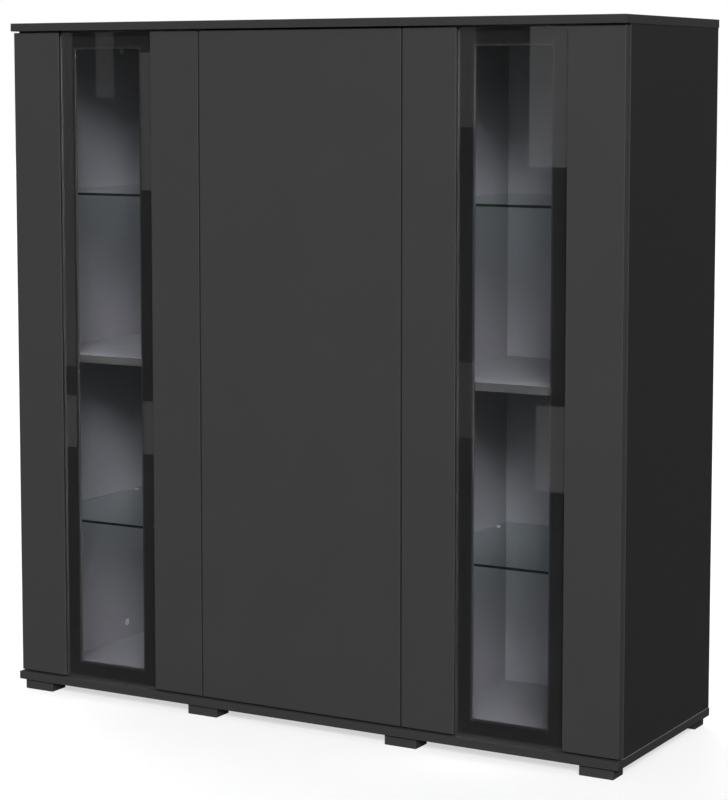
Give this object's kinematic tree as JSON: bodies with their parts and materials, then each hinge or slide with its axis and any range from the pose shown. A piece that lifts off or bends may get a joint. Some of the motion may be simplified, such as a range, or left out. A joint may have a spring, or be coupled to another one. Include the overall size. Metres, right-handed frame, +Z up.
{
  "type": "china cabinet",
  "caption": "Wide free-standing display cabinet with glazed outer doors, a plain middle door, shelves behind them and low block feet.",
  "frame": {"origin": "centre of the footprint, on the floor under the feet", "axes": "+X to the right as seen from the front, +Y from the doors to the back, +Z up"},
  "size_m": [1.35, 0.44, 1.37],
  "materials": {
    "front_lacquer": "matt anthracite foil on fibreboard",
    "side_laminate": "matt anthracite melamine",
    "inside_laminate": "satin anthracite melamine",
    "back_hardboard": "painted hardboard",
    "door_glass": "clear float glass",
    "shelf_glass": "clear float glass with polished edges",
    "mounting_tape": "black foam tape",
    "foot_plastic": "moulded matt",
    "beech": "bare fluted dowel",
    "latch_plastic": "moulded matt",
    "plunger_plastic": "moulded satin",
    "hinge_steel": "nickel-plated",
    "screw_steel": "zinc-plated"
  },
  "bodies": {
    "carcass": {"bottom_board": "front_lacquer", "top_board": "front_lacquer", "left_side_panel": "side_laminate", "right_side_panel": "side_laminate", "left_partition": "inside_laminate", "right_partition": "inside_laminate", "left_back_panel": "back_hardboard", "middle_back_panel": "back_hardboard", "right_back_panel": "back_hardboard", "left_wood_shelf": "inside_laminate", "right_wood_shelf": "inside_laminate", "middle_lower_shelf": "inside_laminate", "middle_centre_shelf": "inside_laminate", "middle_upper_shelf": "inside_laminate", "left_lower_glass_shelf": "shelf_glass", "left_upper_glass_shelf": "shelf_glass", "right_lower_glass_shelf": "shelf_glass", "right_upper_glass_shelf": "shelf_glass", "front_foot_1": "foot_plastic", "front_foot_2": "foot_plastic", "front_foot_3": "foot_plastic", "front_foot_4": "foot_plastic", "back_foot_1": "foot_plastic", "back_foot_2": "foot_plastic", "back_foot_3": "foot_plastic", "back_foot_4": "foot_plastic", "cam_locks": "screw_steel", "cam_bolts": "screw_steel", "wood_dowels": "beech", "shelf_pins": "screw_steel", "back_panel_screws": "screw_steel", "chipboard_screws": "screw_steel", "wall_brackets": "hinge_steel", "hinge_plates": "hinge_steel", "hinge_plate_screws": "screw_steel", "hinge_arms": "hinge_steel", "hinge_pins": "screw_steel", "latch_housings": "latch_plastic"},
    "left_door": {"left_door_frame": "front_lacquer", "left_door_glass": "door_glass", "left_door_tape": "mounting_tape", "left_hinge_cups": "hinge_steel", "left_cup_screws": "screw_steel", "left_strike_plate": "hinge_steel"},
    "middle_door": {"middle_door_panel": "front_lacquer", "middle_hinge_cups": "hinge_steel", "middle_cup_screws": "screw_steel", "middle_strike_plate": "hinge_steel"},
    "right_door": {"right_door_frame": "front_lacquer", "right_door_glass": "door_glass", "right_door_tape": "mounting_tape", "right_hinge_cups": "hinge_steel", "right_cup_screws": "screw_steel", "right_strike_plate": "hinge_steel"},
    "left_links": {"left_hinge_links": "hinge_steel"},
    "middle_links": {"middle_hinge_links": "hinge_steel"},
    "right_links": {"right_hinge_links": "hinge_steel"},
    "left_latch": {"left_latch_plunger": "plunger_plastic"},
    "middle_latch": {"middle_latch_plunger": "plunger_plastic"},
    "right_latch": {"right_latch_plunger": "plunger_plastic"}
  },
  "joints": [
    {"name": "left_door_swing", "type": "hinge", "parent": "carcass", "child": "left_door", "pos_m": [-0.665, -0.208, 0.695], "axis": [0, 0, -1], "range_deg": [0, 95]},
    {"name": "middle_door_swing", "type": "hinge", "parent": "carcass", "child": "middle_door", "pos_m": [-0.216, -0.208, 0.695], "axis": [0, 0, -1], "range_deg": [0, 95]},
    {"name": "right_door_swing", "type": "hinge", "parent": "carcass", "child": "right_door", "pos_m": [0.665, -0.208, 0.695], "axis": [0, 0, 1], "range_deg": [0, 95]},
    {"name": "left_link_swing", "type": "hinge", "parent": "carcass", "child": "left_links", "pos_m": [-0.63362, -0.189, 0.695], "axis": [0, 0, 1], "range_deg": [0, 28.4]},
    {"name": "middle_link_swing", "type": "hinge", "parent": "carcass", "child": "middle_links", "pos_m": [-0.18462, -0.189, 0.695], "axis": [0, 0, 1], "range_deg": [0, 28.4]},
    {"name": "right_link_swing", "type": "hinge", "parent": "carcass", "child": "right_links", "pos_m": [0.63362, -0.189, 0.695], "axis": [0, 0, -1], "range_deg": [0, 28.4]},
    {"name": "left_latch_press", "type": "slide", "parent": "carcass", "child": "left_latch", "axis": [0, 1, 0], "range_m": [0, 0.003], "stiffness_N_per_m": 400, "springref_m": -0.005},
    {"name": "middle_latch_press", "type": "slide", "parent": "carcass", "child": "middle_latch", "axis": [0, 1, 0], "range_m": [0, 0.003], "stiffness_N_per_m": 400, "springref_m": -0.005},
    {"name": "right_latch_press", "type": "slide", "parent": "carcass", "child": "right_latch", "axis": [0, 1, 0], "range_m": [0, 0.003], "stiffness_N_per_m": 400, "springref_m": -0.005}
  ],
  "couplings": [
    {"joint": "left_link_swing", "follows": "left_door_swing", "ratio": 0.29813},
    {"joint": "middle_link_swing", "follows": "middle_door_swing", "ratio": 0.29813},
    {"joint": "right_link_swing", "follows": "right_door_swing", "ratio": 0.29813}
  ]
}
